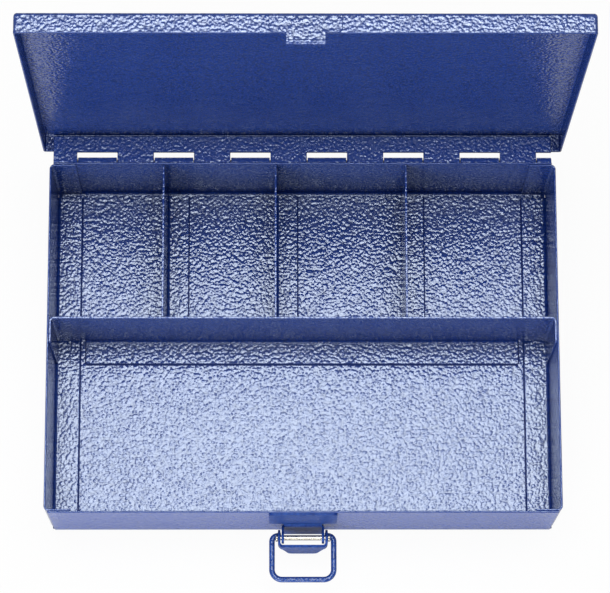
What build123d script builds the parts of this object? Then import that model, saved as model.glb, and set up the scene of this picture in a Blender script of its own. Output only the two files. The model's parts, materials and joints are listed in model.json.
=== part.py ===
"""Sheet-steel drill bit case with a hinged lid, four small compartments, one long
compartment and a toggle latch with a wire bail.

Millimetres, +Z up, +X to the right, +Y to the back. The origin is the middle of the
underside of the case. The lid stands open, the latch lever hangs down and the bail
sticks out level in front of it.
"""

import os
from math import ceil, cos, radians, sin

from build123d import *

# ---- driving dimensions ------------------------------------------------------------

# case body
case_width = 250.0
case_depth = 175.0
case_height = 55.0
sheet = 1.0                 # body, divider and lid steel
bend_radius = 1.5           # inside radius of every body bend
flange_width = 13.0         # end wall flanges, measured from the case's outer face
corner_relief = 3.0         # cut-out where two flanges meet
shell_side_step = 1.8       # the U-bent shell stops this far short of the end walls' faces

# dividers
cross_divider_y = 9.0       # middle of the sheet
cross_flange = 12.5         # foot of the cross divider, towards the front
cross_foot_gap = 3.0        # foot's ends to the end walls' floor flanges
cross_end_flange = 13.0     # upright flanges of the cross divider
divider_x = (-68.7, -13.4, 50.9)
divider_flange = 11.5
divider_drop = 1.0          # divider tops lie this far under the rim
divider_gap = 0.2           # fitting gap at divider edges

# lid
lid_side_gap = 3.2          # lid skirt to case, left and right
lid_front_gap = 2.5         # lid lip to front wall
lid_rest_gap = 0.3          # lid panel over the rim
lid_depth = 9.7             # panel top to the skirt's free edge
lid_corner_radius = 1.6
lid_open_angle = 90.85      # from shut to leaning back on its stop

# strip hinge
hinge_margin = 1.0          # hinge ends short of the case ends
hinge_sheet = 1.2
hinge_wall_gap = 0.3        # lid leaf and lid knuckles to the back wall
pin_radius = 1.7
pin_fit = 0.1               # hinge pin in the lid knuckles, on the radius
pin_hold = 0.02             # hinge pin in the case knuckles, on the radius
pin_to_lid = 14.3           # hinge axis to the underside of the lid panel
leaf_cut = 4.9              # hinge axis to the leaf edge between knuckles
leaf_to_panel = 1.1         # lid leaf to the underside of the lid panel
case_leaf_length = 14.0     # hinge axis to the lower edge of the case leaf
knuckle_pitch = 38.1
lid_knuckle = 18.1
first_lid_knuckle = 11.8    # length left of the cut lid knuckle at the left end
knuckle_side_gap = 0.4
curl_angle = 300.0          # how far a knuckle is rolled round the pin

# lid catch
catch_width = 32.8
catch_sheet = 1.0
catch_corner = 2.5
hook_width = 18.0
hook_reach = 6.6            # hook below the lid's lip
hook_lip = 1.2              # upturned end, above the ledge
hook_play = 0.2             # wire to the upturned end
hook_radius = 0.4           # inside bends

# toggle latch
latch_sheet = 1.2
base_width = 33.0
base_top_drop = 0.6         # plate top under the rim
base_plate_height = 26.4
base_bottom = 3.0
base_corner = 2.0
base_joggle = 1.2           # channel stands forward of the plate by this
channel_width = 20.9
lever_width = 24.4
lever_web_out = 12.6        # front wall to the lever's outer face
lever_top = 1.1             # lever web above its pivot
lever_length = 20.0         # pivot to the lever's lower end
lever_bend = 1.2            # inside radius
lever_cheek_drop = 5.0      # cheek's front edge below the pivot
tongue_width = 20.0
tongue_end_width = 13.6
pivot_out = 7.7             # latch pivot from the front wall
pivot_above_bail = 5.0
eye_radius = 2.9            # rounded ends of ears and cheeks
latch_pin_radius = 1.25
latch_pin_fit = 0.08
latch_pin_head = 2.0
latch_pin_head_length = 1.1
side_play = 0.1             # pin heads and bushes to the cheeks

# wire bail
wire = 2.8
bail_length = 21.6          # bail axis to the middle of the cross bar
bail_width = 33.1           # over the legs
bail_shoulder = 2.9         # centre-line radii
bail_corner = 4.9
bail_seat_gap = 0.1         # cross bar to the hook's ledge and plate when latched
bush_wall = 0.5
bush_fit = 0.1
bail_end_gap = 0.25         # bail ends and bushes to the ears

# ---- places worked out from them ---------------------------------------------------

front_y = -case_depth / 2
back_y = case_depth / 2
inner_x = case_width / 2 - sheet
inner_y = case_depth / 2 - sheet
bend_mid = bend_radius + sheet / 2
divider_top = case_height - divider_drop

lid_leaf_y = back_y + hinge_wall_gap
lid_back_y = lid_leaf_y + hinge_sheet + sheet
case_curl = pin_radius + pin_hold + hinge_sheet / 2
lid_curl = pin_radius + pin_fit + hinge_sheet / 2
pin_y = lid_leaf_y + hinge_sheet / 2 + lid_curl
pin_z = case_height + lid_rest_gap - pin_to_lid
lid_front_y = front_y - lid_front_gap - sheet
lid_width = case_width + 2 * (lid_side_gap + sheet)
lid_top = case_height + lid_rest_gap + sheet
lid_edge = lid_top - lid_depth
hinge_length = case_width - 2 * hinge_margin
hinge_x = -hinge_length / 2

hook_z = lid_edge - hook_reach
hook_y = lid_front_y - catch_sheet - bail_seat_gap - wire - hook_play - catch_sheet
bail_z = hook_z + catch_sheet + bail_seat_gap + wire / 2 - bail_length
bail_y = lid_front_y - catch_sheet - bail_seat_gap - wire / 2
pivot_y = front_y - pivot_out
pivot_z = bail_z + pivot_above_bail
ear_outer = channel_width / 2
cheek_outer = lever_width / 2
cheek_inner = cheek_outer - latch_sheet
bush_radius = wire / 2 + bush_fit + bush_wall

lid_axis = Axis((0, pin_y, pin_z), (1, 0, 0))


def swing_open(shut_piece):
    """Turn a lid piece, modelled shut, about the hinge pin to where the lid leans."""
    return shut_piece.rotate(lid_axis, -lid_open_angle)


# ---- case body ---------------------------------------------------------------------

# front wall, floor and back wall are one sheet bent to a U
with BuildPart() as case_shell:
    with BuildSketch(Plane.YZ):
        with BuildLine():
            FilletPolyline(
                (front_y + sheet / 2, case_height),
                (front_y + sheet / 2, sheet / 2),
                (back_y - sheet / 2, sheet / 2),
                (back_y - sheet / 2, case_height),
                radius=bend_mid,
            )
        trace(line_width=sheet)
    extrude(amount=case_width / 2 - shell_side_step, both=True)

# each end wall is a pan: its flanges lie on the floor and inside the front and back walls
wall_x = -case_width / 2 + sheet / 2
flange_end_x = -case_width / 2 + flange_width
with BuildPart() as end_wall_left:
    with BuildSketch(Plane.XZ):
        with BuildLine():
            FilletPolyline(
                (wall_x, case_height),
                (wall_x, 1.5 * sheet),
                (flange_end_x, 1.5 * sheet),
                radius=bend_mid,
            )
        trace(line_width=sheet)
    extrude(amount=inner_y - corner_relief, both=True)
    with BuildSketch(Plane.XY.offset(sheet + corner_relief)):
        with BuildLine():
            FilletPolyline(
                (flange_end_x, -inner_y + sheet / 2),
                (wall_x, -inner_y + sheet / 2),
                (wall_x, inner_y - sheet / 2),
                (flange_end_x, inner_y - sheet / 2),
                radius=bend_mid,
            )
        trace(line_width=sheet)
    extrude(amount=case_height - sheet - corner_relief)

with BuildPart() as end_wall_right:
    mirror(end_wall_left.part, about=Plane.YZ)

# ---- dividers ----------------------------------------------------------------------

# the foot fits between the end walls' floor flanges, the upright flanges meet the end walls
cross_foot = case_width / 2 - flange_width - cross_foot_gap
flange_clear = 2 * sheet + bend_radius + divider_gap
with BuildPart() as cross_divider:
    with BuildSketch(Plane.YZ):
        with BuildLine():
            FilletPolyline(
                (cross_divider_y, divider_top),
                (cross_divider_y, 1.5 * sheet),
                (cross_divider_y + sheet / 2 - cross_flange, 1.5 * sheet),
                radius=bend_mid,
            )
        trace(line_width=sheet)
    extrude(amount=cross_foot, both=True)
    with BuildSketch(Plane.XY.offset(flange_clear)):
        with BuildLine():
            FilletPolyline(
                (-inner_x + sheet / 2, cross_divider_y + sheet / 2 - cross_end_flange),
                (-inner_x + sheet / 2, cross_divider_y),
                (inner_x - sheet / 2, cross_divider_y),
                (inner_x - sheet / 2, cross_divider_y + sheet / 2 - cross_end_flange),
                radius=bend_mid,
            )
        trace(line_width=sheet)
    extrude(amount=divider_top - flange_clear)

# three short dividers, each with a foot to its right
divider_front = cross_divider_y + sheet / 2
divider_back = inner_y - divider_gap
foot_back = inner_y - bend_radius - divider_gap
dividers = {}
for name, x in zip(("divider_left", "divider_middle", "divider_right"), divider_x):
    with BuildPart() as divider:
        with BuildSketch(Plane.XZ.offset(-divider_front)):
            with BuildLine():
                FilletPolyline(
                    (x, divider_top),
                    (x, 1.5 * sheet),
                    (x - sheet / 2 + divider_flange, 1.5 * sheet),
                    radius=bend_mid,
                )
            trace(line_width=sheet)
        extrude(amount=-(divider_back - divider_front))
        with BuildSketch(Plane.YZ.offset(x + sheet / 2 + divider_flange / 2)):
            with BuildLine():
                Polyline(
                    (foot_back, 0),
                    (divider_back + sheet, 0),
                    (divider_back + sheet, flange_clear),
                    (divider_back, flange_clear),
                    (foot_back, sheet + bend_radius),
                    close=True,
                )
            make_face()
        extrude(amount=divider_flange, both=True, mode=Mode.SUBTRACT)
    dividers[name] = divider.part

# ---- lid ---------------------------------------------------------------------------

lid_mid_y = (lid_front_y + lid_back_y) / 2
with BuildPart() as lid_shell:
    with BuildSketch(Plane.XY.offset(lid_edge)):
        with Locations((0, lid_mid_y)):
            Rectangle(lid_width, lid_back_y - lid_front_y)
    extrude(amount=lid_depth)
    fillet(lid_shell.edges().filter_by(Axis.Z), radius=lid_corner_radius)
    fillet(lid_shell.faces().sort_by(Axis.Z)[-1].edges(), radius=lid_corner_radius)
    offset(amount=-sheet, openings=lid_shell.faces().sort_by(Axis.Z)[0])

# catch plate on the lid's lip, with a hook below it for the bail
catch_y = lid_front_y - catch_sheet / 2
with BuildPart() as lid_catch:
    with BuildSketch(Plane.YZ):
        with BuildLine():
            FilletPolyline(
                (catch_y, lid_top - lid_corner_radius),
                (catch_y, hook_z + catch_sheet / 2),
                (hook_y + catch_sheet / 2, hook_z + catch_sheet / 2),
                (hook_y + catch_sheet / 2, hook_z + catch_sheet + hook_lip),
                radius=hook_radius + catch_sheet / 2,
            )
        trace(line_width=catch_sheet)
    extrude(amount=hook_width / 2, both=True)
    with BuildSketch(Plane.XZ.offset(-lid_front_y)):
        with BuildLine():
            FilletPolyline(
                (-catch_width / 2, lid_edge),
                (catch_width / 2, lid_edge),
                (catch_width / 2, lid_top - lid_corner_radius),
                (-catch_width / 2, lid_top - lid_corner_radius),
                radius=(catch_corner, catch_corner, 0, 0),
                close=True,
            )
        make_face()
    extrude(amount=catch_sheet)

# ---- strip hinge -------------------------------------------------------------------


def knuckle_spans(lid_side):
    """Start and end, along X, of the lid's knuckles or of the case's between them."""
    spans = []
    for k in range(ceil(hinge_length / knuckle_pitch) + 1):
        lid_end = hinge_x + first_lid_knuckle + k * knuckle_pitch
        if lid_side:
            span = (lid_end - lid_knuckle, lid_end)
        else:
            span = (lid_end + knuckle_side_gap,
                    lid_end + knuckle_pitch - lid_knuckle - knuckle_side_gap)
        span = (max(span[0], hinge_x), min(span[1], -hinge_x))
        if span[1] - span[0] > knuckle_side_gap:
            spans.append(span)
    return spans


# leaf welded outside the back wall, its knuckles rolled over the top of the pin
with BuildPart() as hinge_leaf_case:
    with BuildSketch(Plane.XZ.offset(-back_y)):
        with Locations((0, pin_z - (case_leaf_length + leaf_cut) / 2)):
            Rectangle(hinge_length, case_leaf_length - leaf_cut)
    extrude(amount=-hinge_sheet)
    for start, end in knuckle_spans(lid_side=False):
        with BuildSketch(Plane.YZ.offset(start)):
            with BuildLine():
                Line((pin_y - case_curl, pin_z - leaf_cut - 1), (pin_y - case_curl, pin_z))
                CenterArc((pin_y, pin_z), case_curl, 180, -curl_angle)
            trace(line_width=hinge_sheet)
        extrude(amount=end - start)

# leaf welded inside the lid's back flange, its knuckles rolled under the pin
lid_leaf_top = pin_z + pin_to_lid - leaf_to_panel
with BuildPart() as hinge_leaf_lid:
    with BuildSketch(Plane.XZ.offset(-lid_leaf_y)):
        with Locations((0, (pin_z + leaf_cut + lid_leaf_top) / 2)):
            Rectangle(hinge_length, lid_leaf_top - pin_z - leaf_cut)
    extrude(amount=-hinge_sheet)
    for start, end in knuckle_spans(lid_side=True):
        with BuildSketch(Plane.YZ.offset(start)):
            with BuildLine():
                Line((pin_y - lid_curl, pin_z + leaf_cut + 1), (pin_y - lid_curl, pin_z))
                CenterArc((pin_y, pin_z), lid_curl, 180, curl_angle)
            trace(line_width=hinge_sheet)
        extrude(amount=end - start)

with BuildPart() as hinge_pin:
    with BuildSketch(Plane.YZ):
        with Locations((pin_y, pin_z)):
            Circle(pin_radius)
    extrude(amount=hinge_length / 2, both=True)

# ---- latch -------------------------------------------------------------------------

# plate on the front wall, stepped forward below into a channel with two ears
plate_mid_y = front_y - latch_sheet / 2
channel_mid_y = plate_mid_y - base_joggle
plate_top = case_height - base_top_drop
plate_bottom = plate_top - base_plate_height
ear_tip_y = pivot_y - eye_radius
with BuildPart() as latch_base:
    with BuildSketch(Plane.XY.offset(base_bottom)):
        with BuildLine():
            FilletPolyline(
                (-ear_outer + latch_sheet / 2, ear_tip_y),
                (-ear_outer + latch_sheet / 2, channel_mid_y),
                (ear_outer - latch_sheet / 2, channel_mid_y),
                (ear_outer - latch_sheet / 2, ear_tip_y),
                radius=latch_sheet,
            )
        trace(line_width=latch_sheet)
    extrude(amount=pivot_z + eye_radius - base_bottom)
    with BuildSketch(Plane.YZ):
        with Locations((pivot_y, pivot_z)):
            Circle(eye_radius)
        with BuildLine():
            Line(
                (channel_mid_y, plate_bottom - base_joggle),
                (channel_mid_y, pivot_z - 3 * eye_radius),
            )
        make_hull()
        with Locations((channel_mid_y, (base_bottom + plate_bottom - base_joggle) / 2)):
            Rectangle(latch_sheet, plate_bottom - base_joggle - base_bottom)
    extrude(amount=channel_width / 2, both=True, mode=Mode.INTERSECT)
    with BuildSketch(Plane.YZ):
        with BuildLine():
            FilletPolyline(
                (plate_mid_y, plate_bottom + 2 * base_joggle),
                (plate_mid_y, plate_bottom),
                (channel_mid_y, plate_bottom - base_joggle),
                (channel_mid_y, plate_bottom - 3 * base_joggle),
                radius=latch_sheet,
            )
        trace(line_width=latch_sheet)
    extrude(amount=ear_outer - latch_sheet, both=True)
    with BuildSketch(Plane.XZ.offset(-front_y)):
        with Locations((0, (plate_top + plate_bottom) / 2)):
            RectangleRounded(base_width, plate_top - plate_bottom, base_corner)
    extrude(amount=latch_sheet)
    with BuildSketch(Plane.YZ):
        with Locations((pivot_y, pivot_z)):
            Circle(latch_pin_radius + latch_pin_fit)
    extrude(amount=channel_width, both=True, mode=Mode.SUBTRACT)

# lever: a web with two cheeks at the top and a tongue for the finger below
web_mid_y = front_y - lever_web_out + latch_sheet / 2
web_top = pivot_z + lever_top
lever_bottom = pivot_z - lever_length
cheek_bottom = pivot_z - lever_cheek_drop
with BuildPart() as latch_lever:
    with BuildSketch(Plane.XY.offset(lever_bottom)):
        with BuildLine():
            FilletPolyline(
                (-cheek_outer + latch_sheet / 2, front_y),
                (-cheek_outer + latch_sheet / 2, web_mid_y),
                (cheek_outer - latch_sheet / 2, web_mid_y),
                (cheek_outer - latch_sheet / 2, front_y),
                radius=lever_bend + latch_sheet / 2,
            )
        trace(line_width=latch_sheet)
    extrude(amount=lever_length + eye_radius)
    with BuildSketch(Plane.YZ):
        with Locations((pivot_y, pivot_z)):
            Circle(eye_radius)
        with Locations((bail_y, bail_z)):
            Circle(eye_radius)
        with BuildLine():
            Line((web_mid_y - latch_sheet / 2, web_top), (web_mid_y - latch_sheet / 2, cheek_bottom))
        make_hull()
        with Locations((web_mid_y, (web_top + lever_bottom) / 2)):
            Rectangle(latch_sheet, web_top - lever_bottom)
    extrude(amount=lever_width / 2, both=True, mode=Mode.INTERSECT)
    with BuildSketch(Plane.XZ):
        with BuildLine():
            FilletPolyline(
                (-cheek_outer, web_top + eye_radius),
                (cheek_outer, web_top + eye_radius),
                (cheek_outer, cheek_bottom),
                (tongue_width / 2, cheek_bottom - lever_bend),
                (tongue_end_width / 2, lever_bottom),
                (-tongue_end_width / 2, lever_bottom),
                (-tongue_width / 2, cheek_bottom - lever_bend),
                (-cheek_outer, cheek_bottom),
                radius=(0, 0, 1.0, 1.5, 2.5, 2.5, 1.5, 1.0),
                close=True,
            )
        make_face()
    extrude(amount=case_depth, both=True, mode=Mode.INTERSECT)
    with BuildSketch(Plane.YZ):
        with Locations((pivot_y, pivot_z)):
            Circle(latch_pin_radius + latch_pin_fit)
        with Locations((bail_y, bail_z)):
            Circle(bush_radius + bush_fit)
    extrude(amount=lever_width, both=True, mode=Mode.SUBTRACT)

# headed pin through the ears and the cheeks
with BuildPart() as latch_pin:
    with BuildSketch(Plane.YZ):
        with Locations((pivot_y, pivot_z)):
            Circle(latch_pin_radius)
    extrude(amount=cheek_outer + side_play, both=True)
    for side in (-1, 1):
        with BuildSketch(Plane.YZ.offset(side * (cheek_outer + side_play))):
            with Locations((pivot_y, pivot_z)):
                Circle(latch_pin_head)
        extrude(amount=side * latch_pin_head_length)
    fillet(
        latch_pin.faces().filter_by(Axis.X).sort_by(Axis.X)[0].edges()
        + latch_pin.faces().filter_by(Axis.X).sort_by(Axis.X)[-1].edges(),
        radius=latch_pin_head_length / 2,
    )

# bushes in the cheeks, in which the bail's ends turn
bushes = {}
for name, side in (("bail_bush_left", -1), ("bail_bush_right", 1)):
    with BuildPart() as bush:
        with BuildSketch(Plane.YZ.offset(side * (cheek_inner - side_play))):
            with Locations((bail_y, bail_z)):
                Circle(bush_radius)
                Circle(wire / 2 + bush_fit, mode=Mode.SUBTRACT)
        extrude(amount=side * (latch_sheet + 2 * side_play))
    bushes[name] = bush.part

# wire bail
leg_x = (bail_width - wire) / 2
end_x = ear_outer + bail_end_gap
bar_y = bail_y - bail_length
with BuildPart() as latch_bail:
    with BuildLine(Plane.XY.offset(bail_z)) as bail_path:
        FilletPolyline(
            (-end_x, bail_y),
            (-leg_x, bail_y),
            (-leg_x, bar_y),
            (leg_x, bar_y),
            (leg_x, bail_y),
            (end_x, bail_y),
            radius=(bail_shoulder, bail_corner, bail_corner, bail_shoulder),
        )
    with BuildSketch(Plane.YZ.offset(-end_x)):
        with Locations((bail_y, bail_z)):
            Circle(wire / 2)
    sweep(path=bail_path.wire())

# ---- export ------------------------------------------------------------------------

pieces = {
    "case_shell": case_shell.part,
    "end_wall_left": end_wall_left.part,
    "end_wall_right": end_wall_right.part,
    "cross_divider": cross_divider.part,
    **dividers,
    "hinge_leaf_case": hinge_leaf_case.part,
    "hinge_pin": hinge_pin.part,
    "lid_shell": swing_open(lid_shell.part),
    "lid_catch": swing_open(lid_catch.part),
    "hinge_leaf_lid": swing_open(hinge_leaf_lid.part),
    "latch_base": latch_base.part,
    "latch_pin": latch_pin.part,
    "latch_lever": latch_lever.part,
    **bushes,
    "latch_bail": latch_bail.part,
}

os.makedirs("parts", exist_ok=True)
for name, piece in pieces.items():
    piece.label = name
    export_step(piece, f"parts/{name}.step")
    print(f"{name}: {piece.volume:.1f} mm3")
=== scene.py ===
# %% [markdown]
# # A blue steel case for drill bits
#
# The object is a shallow sheet-steel case, about 250 mm wide. Its lid stands open behind it, four small
# compartments lie at the back and one long compartment at the front, and a toggle latch with a wire
# bail hangs on the front wall. Nearly everything is finished in hammered enamel: a hard, glossy blue
# paint that draws itself up into small pebbles as it dries.
#
# The steel pieces come from the frame, which holds them at their true size and in their true place.
# This lesson gives them soft edges and finishes, puts them on a pale floor, and lights them.

import json
import math

import bpy
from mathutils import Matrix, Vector


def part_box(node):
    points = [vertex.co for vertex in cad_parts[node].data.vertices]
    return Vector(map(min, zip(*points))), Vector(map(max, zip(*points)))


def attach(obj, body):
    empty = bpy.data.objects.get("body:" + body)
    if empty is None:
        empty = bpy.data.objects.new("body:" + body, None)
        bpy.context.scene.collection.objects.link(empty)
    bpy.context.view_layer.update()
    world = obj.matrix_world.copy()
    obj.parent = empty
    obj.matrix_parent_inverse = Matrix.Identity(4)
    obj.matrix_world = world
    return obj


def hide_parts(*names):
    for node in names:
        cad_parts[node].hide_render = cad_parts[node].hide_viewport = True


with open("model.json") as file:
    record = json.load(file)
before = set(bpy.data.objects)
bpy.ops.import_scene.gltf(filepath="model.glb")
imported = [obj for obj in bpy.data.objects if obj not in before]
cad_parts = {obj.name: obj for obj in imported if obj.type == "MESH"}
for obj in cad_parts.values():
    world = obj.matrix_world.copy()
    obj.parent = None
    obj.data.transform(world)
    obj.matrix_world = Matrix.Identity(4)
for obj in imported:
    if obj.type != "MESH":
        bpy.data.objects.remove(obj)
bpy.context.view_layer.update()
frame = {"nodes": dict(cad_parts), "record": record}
nodes = frame["nodes"]

# %% [markdown]
# ## Which piece moves with what
#
# The frame's record says which body each node belongs to. A soft-edged copy of a node has to ride on
# the same body as the node does, so a small table is made of it once.

# %% Body of every node
body_of = {}
for body_name, members in frame["record"]["behaviour"]["bodies"].items():
    for member in members:
        body_of[member] = body_name

# %% [markdown]
# ## The camera
#
# The camera stands high in front of the case and looks steeply down into it, so the lid is strongly
# foreshortened and the floors of the compartments are seen almost square on. A long lens from about
# a metre and a half keeps the sides nearly parallel. The place and the three turns below are all
# that the view needs. The lens is given by its picture scale in pixels: how many pixels wide an
# object looks that is as wide as it is far away.

# %% Camera
picture_width = 610
camera_place = Vector((-0.01224, -0.31853, 1.48984))
camera_turns = (0.23124, -0.00880, -0.00172)
picture_scale = 3015.0

bpy.ops.object.select_all(action="DESELECT")
bpy.ops.object.camera_add(location=camera_place)
camera = bpy.context.object
camera.name = "camera"
camera.rotation_euler = camera_turns
camera.data.sensor_width = 36.0
camera.data.lens = picture_scale / picture_width * camera.data.sensor_width
camera.data.clip_start = 0.01
camera.data.clip_end = 20.0
bpy.context.scene.camera = camera
print("lens in mm:", round(camera.data.lens, 1))

# %% [markdown]
# ## Wiring a shader
#
# A shader is a small network of nodes. Four kinds of step come back in nearly all of them here, so
# each gets a helper: join two sockets, calculate, carry a value from one range to another, and mix
# two colours.

# %% Shader helpers


def link(tree, source, target):
    """Join an output socket to an input socket of the same node tree."""
    tree.links.new(source, target)


def calculate(tree, operation, first, second):
    """The output of a Math node. `first` is a socket, and `second` a socket or a number with a point."""
    node = tree.nodes.new("ShaderNodeMath")
    node.operation = operation
    link(tree, first, node.inputs[0])
    if isinstance(second, float):
        node.inputs[1].default_value = second
    else:
        link(tree, second, node.inputs[1])
    return node.outputs[0]


def carry_over(tree, value, from_range, to_range, curve="LINEAR"):
    """`value`, taken from `from_range` to `to_range`."""
    node = tree.nodes.new("ShaderNodeMapRange")
    node.interpolation_type = curve
    node.inputs["From Min"].default_value, node.inputs["From Max"].default_value = from_range
    node.inputs["To Min"].default_value, node.inputs["To Max"].default_value = to_range
    link(tree, value, node.inputs["Value"])
    return node.outputs["Result"]


def mix_colours(tree, share, low, high):
    """The colour `low` where `share` is 0, and `high` where it is 1."""
    node = tree.nodes.new("ShaderNodeMix")
    node.data_type = "RGBA"
    node.inputs["A"].default_value = (*low, 1)
    node.inputs["B"].default_value = (*high, 1)
    link(tree, share, node.inputs["Factor"])
    return node.outputs["Result"]


print("four shader helpers are ready")

# %% [markdown]
# ## Floor and surroundings
#
# The case lies on a white table under a soft studio light. The floor is a large plane that keeps the
# object's shadow. Seen directly or in a reflection it is lifted towards plain white, which is done
# with the Light Path node, so no extra light falls on the object. The world gets the same treatment.

# %% Whiteness by kind of ray


def whiteness(tree, seen, mirrored):
    """`seen` for camera rays, `mirrored` for glossy and transmission rays, 0 for rays that carry light."""
    path = tree.nodes.new("ShaderNodeLightPath").outputs
    indirect = calculate(tree, "MAXIMUM", path["Is Glossy Ray"], path["Is Transmission Ray"])
    direct = calculate(tree, "MULTIPLY", path["Is Camera Ray"], seen)
    return calculate(tree, "ADD", direct, calculate(tree, "MULTIPLY", indirect, mirrored))


def lift_to_white(tree, lit, white, output, share):
    """Send `lit` to the output, with `white` in its place for `share` of the rays."""
    blend = tree.nodes.new("ShaderNodeMixShader")
    link(tree, share, blend.inputs["Fac"])
    link(tree, lit.outputs[0], blend.inputs[1])
    link(tree, white.outputs[0], blend.inputs[2])
    link(tree, blend.outputs[0], output.inputs["Surface"])


print("white is shown to the camera and, weakly, to mirrors")

# %% Floor
floor_size = 8.0
floor_seen = 0.94
floor_mirrored = 0.1
table_colour = (0.70, 0.70, 0.70, 1)

bpy.ops.object.select_all(action="DESELECT")
bpy.ops.mesh.primitive_plane_add(size=floor_size, location=(0, 0, 0))
floor = bpy.context.object
floor.name = "studio_floor"
floor_paint = bpy.data.materials.new("white_table")
floor_paint.use_nodes = True
tree = floor_paint.node_tree
tree.nodes.clear()
output = tree.nodes.new("ShaderNodeOutputMaterial")
lit = tree.nodes.new("ShaderNodeBsdfDiffuse")
lit.inputs["Color"].default_value = table_colour
plain_white = tree.nodes.new("ShaderNodeEmission")
plain_white.inputs["Strength"].default_value = 1.0
lift_to_white(tree, lit, plain_white, output, whiteness(tree, floor_seen, floor_mirrored))
floor.data.materials.append(floor_paint)
print("floor:", floor_size, "m square")

# %% World
surround_strength = 0.22
world_seen = 1.0
world_mirrored = 0.25

world = bpy.data.worlds.new("studio")
bpy.context.scene.world = world
world.use_nodes = True
tree = world.node_tree
tree.nodes.clear()
output = tree.nodes.new("ShaderNodeOutputWorld")
surround = tree.nodes.new("ShaderNodeBackground")
surround.inputs["Strength"].default_value = surround_strength
backdrop = tree.nodes.new("ShaderNodeBackground")
backdrop.inputs["Color"].default_value = (1, 1, 1, 1)
lift_to_white(tree, surround, backdrop, output, whiteness(tree, world_seen, world_mirrored))
print("surroundings light the case with strength", surround_strength)

# %% [markdown]
# ## The lights
#
# Glossy enamel shows what it mirrors. The floors of the compartments mirror one large softbox that
# hangs over the case and a little behind it, so they look pale; upright walls mirror the other
# walls and stay deep blue. Every pebble is a small curved mirror that sees a wide patch of the
# softbox. If the cloth glowed evenly, a pebble would be flat white with hard dark spots, where it
# sees past the cloth's edge. So the cloth glows most in its middle and fades smoothly all the way
# to its edges, as it does with one bulb behind it. The long front floor mirrors the middle and
# looks soft and pale, and the back floors mirror the dimmer rear and have more contrast.

# %% Overhead softbox
softbox_place = (0.0, 0.33, 2.8)
softbox_width = 2.8
softbox_depth = 2.2
softbox_power = 230.0


def softbox(name, place, aim, width, depth, power):
    """A rectangular area lamp at `place` that faces the point `aim`."""
    bpy.ops.object.light_add(type="AREA", location=place)
    lamp = bpy.context.object
    lamp.name = name
    lamp.data.shape = "RECTANGLE"
    lamp.data.size = width
    lamp.data.size_y = depth
    lamp.data.energy = power
    lamp.rotation_euler = (Vector(aim) - Vector(place)).to_track_quat("-Z", "Y").to_euler()
    return lamp


main_light = softbox(
    "overhead_softbox", softbox_place, (0, 0, 0), softbox_width, softbox_depth, softbox_power
)
print("softbox hangs", softbox_place[2], "m over the table")

# %% Glow of its cloth
front_glow = 0.95
back_glow = 1.1
edge_glow = 0.06
faded_width = 0.5

main_light.data.use_nodes = True
tree = main_light.data.node_tree
cloth = tree.nodes.new("ShaderNodeSeparateXYZ")
link(tree, tree.nodes.new("ShaderNodeNewGeometry").outputs["Parametric"], cloth.inputs[0])
glow = carry_over(tree, cloth.outputs["Y"], (0.0, 1.0), (back_glow, front_glow))
for side in ["X", "Y"]:
    from_edge = calculate(tree, "PINGPONG", cloth.outputs[side], 0.5)
    fade = carry_over(tree, from_edge, (0.0, faded_width), (edge_glow, 1.0), "SMOOTHSTEP")
    glow = calculate(tree, "MULTIPLY", glow, fade)
link(tree, glow, tree.nodes["Emission"].inputs["Strength"])
print("cloth fades over", faded_width, "of its width from every edge")

# %% [markdown]
# The softbox hardly reaches the upright faces that look towards the camera, so a small, weak one
# low in front lifts the blue of the lid's inside and of the front wall.

# %% Front fill
front_fill = softbox("front_fill", (-0.25, -0.95, 0.45), (0, 0, 0.05), 0.8, 0.5, 9.0)
print("front fill:", front_fill.data.energy, "W against", main_light.data.energy, "W overhead")

# %% [markdown]
# ## Hammered enamel
#
# The paint is a clear, glossy binder over blue pigment. While it dries it pulls up into pebbles one
# to two millimetres across with narrow valleys between them. A bitmap would repeat and blur, so the
# pebbles are a Voronoi pattern in bump, with smoothed cells. Its coordinates are first pushed about
# by noise, which makes the cells uneven and a little wormy, and a finer noise lies over it as a weak
# ripple. The pigment is the base colour, and in the valleys it is mixed towards a darker blue as
# painted shade. A bluish specular tint stands for the light that the binder swallows. Towards the
# front of the case's floor the paint had time to flow out, so its pebbles are lower there.

# %% Start of an enamel
binder_tint = (0.77, 0.87, 1.0, 1)


def noise(tree, where, scale, detail=2.0):
    """A noise texture at `where`, with `scale` features to the metre."""
    node = tree.nodes.new("ShaderNodeTexNoise")
    node.inputs["Scale"].default_value = scale
    node.inputs["Detail"].default_value = detail
    node.inputs["Roughness"].default_value = 0.5
    link(tree, where, node.inputs["Vector"])
    return node


def start_enamel(name, ior):
    """A new material with a tinted gloss: the material, its tree, its shader and where it reads."""
    material = bpy.data.materials.new(name)
    material.use_nodes = True
    tree = material.node_tree
    shader = tree.nodes["Principled BSDF"]
    shader.inputs["IOR"].default_value = ior
    shader.inputs["Specular Tint"].default_value = binder_tint
    where = tree.nodes.new("ShaderNodeTexCoord").outputs["Object"]
    return material, tree, shader, where


def add_bump(tree, shader, height, distance):
    """Bump the shader's surface by `height`, where 1 stands for `distance` metres."""
    bump = tree.nodes.new("ShaderNodeBump")
    bump.inputs["Distance"].default_value = distance
    link(tree, height, bump.inputs["Height"])
    link(tree, bump.outputs["Normal"], shader.inputs["Normal"])
    return bump


print("binder tint:", binder_tint[:3])

# %% Pebbles
push_scale = 0.8
push_distance = 0.8
roundness = 0.9
valley_distance = 0.8
ripple_scale = 1.5
ripple_height = 0.2


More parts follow.
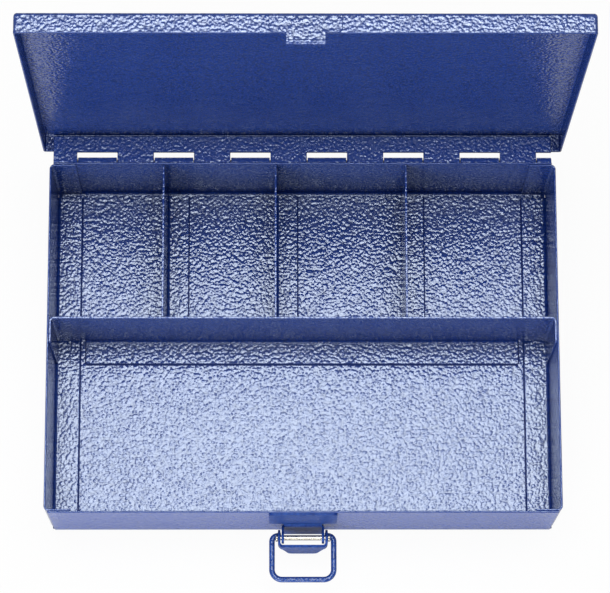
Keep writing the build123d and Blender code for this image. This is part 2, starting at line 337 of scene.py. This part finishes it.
def pebbles(tree, where, pebbles_per_metre):
    """Two sockets: 1 on top of every pebble and 0 in the valleys, and the same with a ripple on it."""
    push = noise(tree, where, pebbles_per_metre * push_scale)
    centred = tree.nodes.new("ShaderNodeVectorMath")
    centred.operation = "SUBTRACT"
    centred.inputs[1].default_value = (0.5, 0.5, 0.5)
    link(tree, push.outputs["Color"], centred.inputs[0])
    scaled = tree.nodes.new("ShaderNodeVectorMath")
    scaled.operation = "SCALE"
    scaled.inputs["Scale"].default_value = push_distance / pebbles_per_metre
    link(tree, centred.outputs[0], scaled.inputs[0])
    moved = tree.nodes.new("ShaderNodeVectorMath")
    moved.operation = "ADD"
    link(tree, where, moved.inputs[0])
    link(tree, scaled.outputs[0], moved.inputs[1])

    cells = tree.nodes.new("ShaderNodeTexVoronoi")
    cells.feature = "SMOOTH_F1"
    cells.inputs["Scale"].default_value = pebbles_per_metre
    cells.inputs["Smoothness"].default_value = roundness
    link(tree, moved.outputs[0], cells.inputs["Vector"])
    top = carry_over(tree, cells.outputs["Distance"], (0.0, valley_distance), (1.0, 0.0))
    ripple = noise(tree, where, pebbles_per_metre * ripple_scale, 1.0)
    rippled = calculate(tree, "MULTIPLY", ripple.outputs["Fac"], ripple_height)
    return top, calculate(tree, "ADD", top, rippled)


print("cells are pushed by up to", push_distance / 2, "of their width")

# %% Hammered enamel
flow_starts = 0.010
flow_ends = -0.030


def hammered_enamel(name, pigment, valley, pebbles_per_metre, relief, gloss, ior=1.7, flow=1.0):
    """Glossy enamel with pebbles. `relief` is their height in metres, and `flow` its share in front."""
    material, tree, shader, where = start_enamel(name, ior)
    shader.inputs["Roughness"].default_value = gloss
    top, height = pebbles(tree, where, pebbles_per_metre)
    bump = add_bump(tree, shader, height, relief)
    if flow < 1:
        place = tree.nodes.new("ShaderNodeSeparateXYZ")
        link(tree, where, place.inputs[0])
        lower = carry_over(
            tree, place.outputs["Y"], (flow_ends, flow_starts), (flow * relief, relief)
        )
        link(tree, lower, bump.inputs["Distance"])
    # Painted shade: the base colour turns to the darker valley colour between the pebbles.
    link(tree, mix_colours(tree, top, valley, pigment), shader.inputs["Base Color"])
    return material


print("pebbles get lower from Y", flow_starts, "to", flow_ends)

# %% [markdown]
# One recipe gives every enamelled piece its own coat. The case and the lid have the deepest blue and
# the strongest shine. The hinge's leaves get a lighter blue as painted light, because the open lid
# shades them, and the painted shade in their valleys is only a little darker than their pebbles.
# Upright walls have lower pebbles and less shine, and a lighter blue as painted light. The latch has
# a duller coat, and its wire has finer pebbles because there is little room for them.

# %% The enamels of this case
deep_blue = (0.019, 0.060, 0.310)
lid_blue = (0.016, 0.053, 0.290)
# A lighter blue: painted light for the hinge's leaves, which the open lid shades.
leaf_blue_painted_light = (0.030, 0.092, 0.440)
# A lighter blue: painted light for the upright walls, which the softbox hardly reaches.
wall_blue_painted_light = (0.025, 0.079, 0.370)
latch_blue = (0.028, 0.085, 0.340)
# The colour of the valleys is painted shade.
valley_blue_painted_shade = (0.008, 0.028, 0.160)

case_enamel = hammered_enamel("case_enamel", deep_blue, valley_blue_painted_shade, 700, 0.00023, 0.06, flow=0.8)
lid_enamel = hammered_enamel("lid_enamel", lid_blue, valley_blue_painted_shade, 760, 0.00025, 0.06, 1.85)
leaf_enamel_painted_light = hammered_enamel("leaf_enamel_painted_light", leaf_blue_painted_light, deep_blue, 760, 0.00028, 0.06)
wall_enamel_painted_light = hammered_enamel("wall_enamel_painted_light", wall_blue_painted_light, deep_blue, 700, 0.00016, 0.12, 1.35)
latch_enamel = hammered_enamel("latch_enamel", latch_blue, valley_blue_painted_shade, 740, 0.00016, 0.38, 1.2)
bail_enamel = hammered_enamel("bail_enamel", latch_blue, valley_blue_painted_shade, 900, 0.00016, 0.12, 1.5)
for enamel in [case_enamel, lid_enamel, leaf_enamel_painted_light, wall_enamel_painted_light, latch_enamel, bail_enamel]:
    print("made", enamel.name)

# %% [markdown]
# Hammered paint can't hold its pebbles on an edge. It draws back from the corner and lies there as
# a thin, smooth skin, and what has drawn back pools as a bead where one sheet lies on another.
# Both are the same paint without the pebbles, with only a slow ripple left, so one helper makes both.
# The edge paint is a darker blue than the case's, which is painted shade along every edge. The bead
# paint is darker still and barely glossy, which is painted shade in the steps.

# %% Smooth enamel
slow_ripple = 260
slow_ripple_height = 0.00008
gloss_range = (0.6, 1.4)
shaded = 0.75


def smooth_enamel(name, pigment, gloss, ior):
    """The paint where it has no pebbles: on edges, and in the bead along a lap joint."""
    material, tree, shader, where = start_enamel(name, ior)
    ripple = noise(tree, where, slow_ripple).outputs["Fac"]
    rough = carry_over(tree, ripple, (0.0, 1.0), [share * gloss for share in gloss_range])
    link(tree, rough, shader.inputs["Roughness"])
    add_bump(tree, shader, ripple, slow_ripple_height)
    darker = [shaded * c for c in pigment]
    link(tree, mix_colours(tree, ripple, darker, pigment), shader.inputs["Base Color"])
    return material


# Painted shade: a darker blue than the case's, on every rounded edge.
edge_enamel_painted_shade = smooth_enamel("edge_enamel_painted_shade", (0.014, 0.046, 0.240), 0.16, 1.5)
# Painted shade: a near-black blue that barely mirrors, for the beads in the steps and corners.
bead_enamel_painted_shade = smooth_enamel("bead_enamel_painted_shade", (0.008, 0.026, 0.150), 0.45, 1.15)
print("edge and bead paint:", edge_enamel_painted_shade.name, bead_enamel_painted_shade.name)

# %% [markdown]
# The hinge pin, the latch's pin and the bushes are zinc-plated. Round steel is drawn through a die,
# which leaves a fine grain along its length. All of these pieces lie along X, so a noise that is
# stretched along X gives the grain, and it changes both the tone and the roughness a little.

# %% Bright steel
grain_per_metre = 2500
grain_stretch = (0.15, 1, 1)
grain_roughness = (0.18, 0.38)
dark_zinc = (0.34, 0.32, 0.27)
light_zinc = (0.52, 0.50, 0.44)

pin_steel = bpy.data.materials.new("pin_steel")
pin_steel.use_nodes = True
tree = pin_steel.node_tree
shader = tree.nodes["Principled BSDF"]
shader.inputs["Metallic"].default_value = 1.0
stretch = tree.nodes.new("ShaderNodeMapping")
stretch.inputs["Scale"].default_value = grain_stretch
link(tree, tree.nodes.new("ShaderNodeTexCoord").outputs["Object"], stretch.inputs["Vector"])
grain = noise(tree, stretch.outputs[0], grain_per_metre).outputs["Fac"]
link(tree, carry_over(tree, grain, (0.0, 1.0), grain_roughness), shader.inputs["Roughness"])
link(tree, mix_colours(tree, grain, dark_zinc, light_zinc), shader.inputs["Base Color"])
print("made", pin_steel.name)

# %% [markdown]
# ## Soft edges
#
# Sheet steel is cut and then painted, so no edge on the real case is sharp: paint rounds it to a
# few tenths of a millimetre, and that rounding catches a thin line of light. Each piece from the
# frame is copied, its triangles are merged back into whole faces, and a narrow bevel goes round
# every sharp edge. The copy then stands for the piece it was made from. Weighted normals keep the
# shading of a large face flat right up to the bevel.

# %% Copy a piece and soften its edges
merge_within = 2e-6
same_plane = math.radians(0.4)
sharp_edge = math.radians(40)
smooth_up_to = math.radians(32)


def soft_copy(node_name, edge_width, segments, finish, edge_finish=None):
    """A copy of a frame piece with rounded edges, riding on the same body as the piece itself."""
    node = nodes[node_name]
    bpy.ops.object.select_all(action="DESELECT")
    node.select_set(True)
    bpy.context.view_layer.objects.active = node
    bpy.ops.object.duplicate()
    piece = bpy.context.object
    piece.name = node_name + "_finished"
    piece.data.materials.clear()
    piece.data.materials.append(finish)
    bpy.ops.object.mode_set(mode="EDIT")
    bpy.ops.mesh.select_all(action="SELECT")
    bpy.ops.mesh.remove_doubles(threshold=merge_within)
    bpy.ops.mesh.dissolve_limited(angle_limit=same_plane)
    bpy.ops.object.mode_set(mode="OBJECT")
    soften = piece.modifiers.new("soften", "BEVEL")
    soften.width = edge_width
    soften.segments = segments
    soften.limit_method = "ANGLE"
    soften.angle_limit = sharp_edge
    # The edge paint's darker blue is painted shade along the edges.
    if edge_finish:
        piece.data.materials.append(edge_finish)
        soften.material = 1
    bpy.ops.object.modifier_apply(modifier=soften.name)
    bpy.ops.object.shade_smooth_by_angle(angle=smooth_up_to)
    flatten = piece.modifiers.new("flat_faces_stay_flat", "WEIGHTED_NORMAL")
    flatten.mode = "FACE_AREA"
    flatten.weight = 100
    flatten.keep_sharp = True
    bpy.ops.object.modifier_apply(modifier=flatten.name)
    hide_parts(node_name)
    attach(piece, body_of[node_name])
    print(f"{piece.name}: {len(piece.data.polygons)} faces")
    return piece


# %% The sheet pieces of the case and the lid
sheet_edge = 0.0004
finish_of_sheet = {
    "case_shell": case_enamel,
    "end_wall_left": case_enamel,
    "end_wall_right": case_enamel,
    "cross_divider": case_enamel,
    "divider_left": case_enamel,
    "divider_middle": case_enamel,
    "divider_right": case_enamel,
    "hinge_leaf_case": leaf_enamel_painted_light,
    "hinge_leaf_lid": leaf_enamel_painted_light,
    "lid_shell": lid_enamel,
    "lid_catch": lid_enamel,
}
sheets = {}
for node_name, finish in finish_of_sheet.items():
    sheets[node_name] = soft_copy(node_name, sheet_edge, 3, finish, edge_enamel_painted_shade)

# %% [markdown]
# Wet paint runs down an upright wall and is thinner there, so its pebbles are lower and it shines
# less. Its blue is also lighter than the case's: painted light on upright faces, which the overhead
# softbox hardly reaches. The outsides of the front and back walls and both sides of the end walls get
# that paint, face by face: a face belongs to a wall where it looks sideways and lies far enough from
# the middle.

# %% Thinner paint on the walls, with painted light in its blue
middle_of_wall_sheet = 0.0870
inside_of_end_wall = 0.1230


def repaint_walls(piece, axis, beyond):
    """Give `wall_enamel_painted_light` to faces that look along `axis` and lie further out than `beyond`."""
    piece.data.materials.append(wall_enamel_painted_light)
    wall_index = len(piece.data.materials) - 1
    count = 0
    for face in piece.data.polygons:
        upright = abs(face.normal[axis]) > 0.95 and face.material_index == 0
        if upright and abs(face.center[axis]) > beyond:
            face.material_index = wall_index
            count += 1
    print(piece.name, "wall faces:", count)


repaint_walls(sheets["case_shell"], 1, middle_of_wall_sheet)
repaint_walls(sheets["end_wall_left"], 0, inside_of_end_wall)
repaint_walls(sheets["end_wall_right"], 0, inside_of_end_wall)

# %% [markdown]
# The latch's pieces and the pins are small, so their edges are rounded less than the case's.

# %% The latch, the pins and the wire
small_edge = 0.0002
finish_of_small_piece = {
    "latch_base": latch_enamel,
    "latch_lever": latch_enamel,
    "latch_pin": pin_steel,
    "bail_bush_left": pin_steel,
    "bail_bush_right": pin_steel,
    "hinge_pin": pin_steel,
    "latch_bail": bail_enamel,
}
for node_name, finish in finish_of_small_piece.items():
    soft_copy(node_name, small_edge, 2, finish)

# %% [markdown]
# ## Beads of paint along the lap joints, dark as painted shade
#
# The dividers stand on bent feet, and the end walls have flanges on the floor. Along each of these
# edges the wet paint gathers in the step and dries as a narrow wedge. Its very dark paint is painted
# shade of the step, and it is what draws the feet as dark lines on the pale floor. Each wedge starts
# as a cube, and its far upper edge is pressed down. It reaches a hair into the floor, so that no gap
# shows under it.

# %% Bead of paint
floor_top = 0.001
bead_height = 0.0007
thin_edge = 0.00008
into_floor = 0.00005


def paint_bead(name, along, start, end, edge, width):
    """A wedge on the floor, from `start` to `end` along X or Y, lying against the sheet at `edge`.

    A positive `width` puts the wedge on the sheet's far side, a negative one on its near side.
    """
    middle, length = (start + end) / 2, end - start
    across = edge + width / 2
    height = bead_height + into_floor
    base = floor_top - into_floor
    place = (middle, across) if along == "X" else (across, middle)
    size = (length, abs(width)) if along == "X" else (abs(width), length)
    bpy.ops.object.select_all(action="DESELECT")
    bpy.ops.mesh.primitive_cube_add(size=1, location=(*place, base + height / 2))
    piece = bpy.context.object
    piece.name = name
    piece.scale = (*size, height)
    bpy.ops.object.transform_apply(location=True, rotation=True, scale=True)
    axis = 1 if along == "X" else 0
    for vertex in piece.data.vertices:
        far = (vertex.co[axis] - across) * width > 0
        vertex.select = far and vertex.co.z > base + height / 2
    bpy.ops.object.mode_set(mode="EDIT")
    bpy.ops.mesh.select_mode(type="VERT")
    bpy.ops.transform.translate(value=(0, 0, thin_edge - height))
    bpy.ops.object.mode_set(mode="OBJECT")
    # The bead's dark paint is painted shade along the step.
    piece.data.materials.append(bead_enamel_painted_shade)
    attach(piece, "case")


print("beads are", 1000 * bead_height, "mm high")

# %% Beads at the cross divider's foot
foot_bead = 0.0009
side_bead = 0.0006
foot_front = -0.0030
foot_end = 0.1090
web_back = 0.0095
paint_bead("bead_foot_front", "X", -foot_end, foot_end, foot_front, -foot_bead)
paint_bead("bead_foot_left", "Y", foot_front, web_back, -foot_end, -side_bead)
paint_bead("bead_foot_right", "Y", foot_front, web_back, foot_end, side_bead)
print("long foot: bead of", 2 * foot_end, "m along its front")

# %% Beads at the short dividers' feet
divider_front = 0.0097
divider_back = 0.0845
for node_name in ["divider_left", "divider_middle", "divider_right"]:
    foot_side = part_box(node_name)[1][0]
    paint_bead("bead_" + node_name, "Y", divider_front, divider_back, foot_side, side_bead)
    print(node_name, "foot ends at X", round(foot_side, 4))

# %% Beads at the end walls' flanges
flange_end = 0.0835
for node_name, side in [("end_wall_left", 1), ("end_wall_right", -1)]:
    low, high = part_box(node_name)
    flange_edge = high[0] if side > 0 else low[0]
    paint_bead("bead_" + node_name, "Y", -flange_end, flange_end, flange_edge, side * side_bead)
    print(node_name, "flange ends at X", round(flange_edge, 4))

# %% [markdown]
# Where two flanges meet at a bottom corner, the sheet has a small relief cut, or it would tear when
# it is bent. Paint closes the cut. Each of these beads is a small block with rounded edges, in the
# same dark bead paint, which is painted shade in the corner, and the four differ only by the corner
# they are in.

# %% Paint in the four bottom corners
corner_low = Vector((0.1222, 0.0832, 0.0004))
corner_high = Vector((0.1242, 0.0868, 0.0014))
corner_rounding = 0.0003
corner_middle = (corner_low + corner_high) / 2
corner_size = corner_high - corner_low
for side_name, side in [("left", -1), ("right", 1)]:
    for end_name, end in [("front", -1), ("back", 1)]:
        bpy.ops.object.select_all(action="DESELECT")
        place = (side * corner_middle.x, end * corner_middle.y, corner_middle.z)
        bpy.ops.mesh.primitive_cube_add(size=1, location=place)
        corner = bpy.context.object
        corner.name = f"bead_corner_{end_name}_{side_name}"
        corner.scale = corner_size
        bpy.ops.object.transform_apply(location=True, rotation=True, scale=True)
        round_off = corner.modifiers.new("round_off", "BEVEL")
        round_off.width = corner_rounding
        round_off.segments = 3
        bpy.ops.object.modifier_apply(modifier=round_off.name)
        bpy.ops.object.shade_smooth_by_angle(angle=sharp_edge)
        # The dark bead paint is painted shade in the corner.
        corner.data.materials.append(bead_enamel_painted_shade)
        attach(corner, "case")
print("corner beads in mm:", [round(1000 * c, 1) for c in corner_size])

# %% Colour handling
bpy.context.scene.view_settings.view_transform = "Standard"
print("view transform:", bpy.context.scene.view_settings.view_transform)
